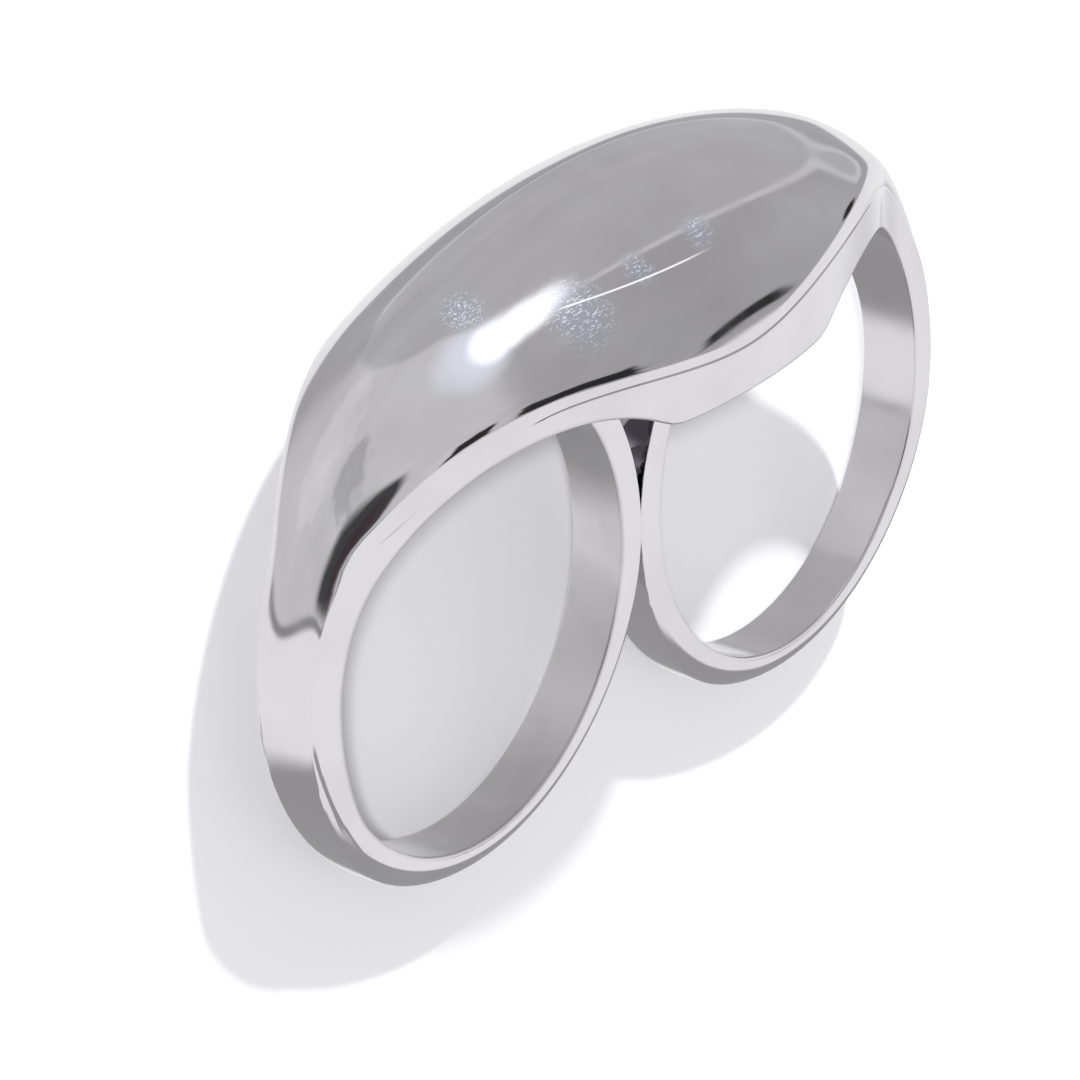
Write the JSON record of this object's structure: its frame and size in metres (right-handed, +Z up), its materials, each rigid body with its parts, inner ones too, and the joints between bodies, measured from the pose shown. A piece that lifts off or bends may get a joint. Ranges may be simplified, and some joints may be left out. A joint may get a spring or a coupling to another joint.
{
  "type": "double ring",
  "caption": "Polished silver ring for two neighbouring fingers: round bands joined side by side under one long, leaf-shaped dome.",
  "frame": {"origin": "centre of the bounding box's base, on the table it lies on", "axes": "+X along the row of fingers, towards the leaf's shorter end; +Y from the bands' ends to the top of the dome; +Z up, out of the front of the finger holes"},
  "size_m": [0.0396, 0.0238, 0.0129],
  "materials": {
    "silver": "polished, with fine wear scratches"
  },
  "bodies": {
    "root": {"double_ring": "silver"}
  },
  "joints": []
}
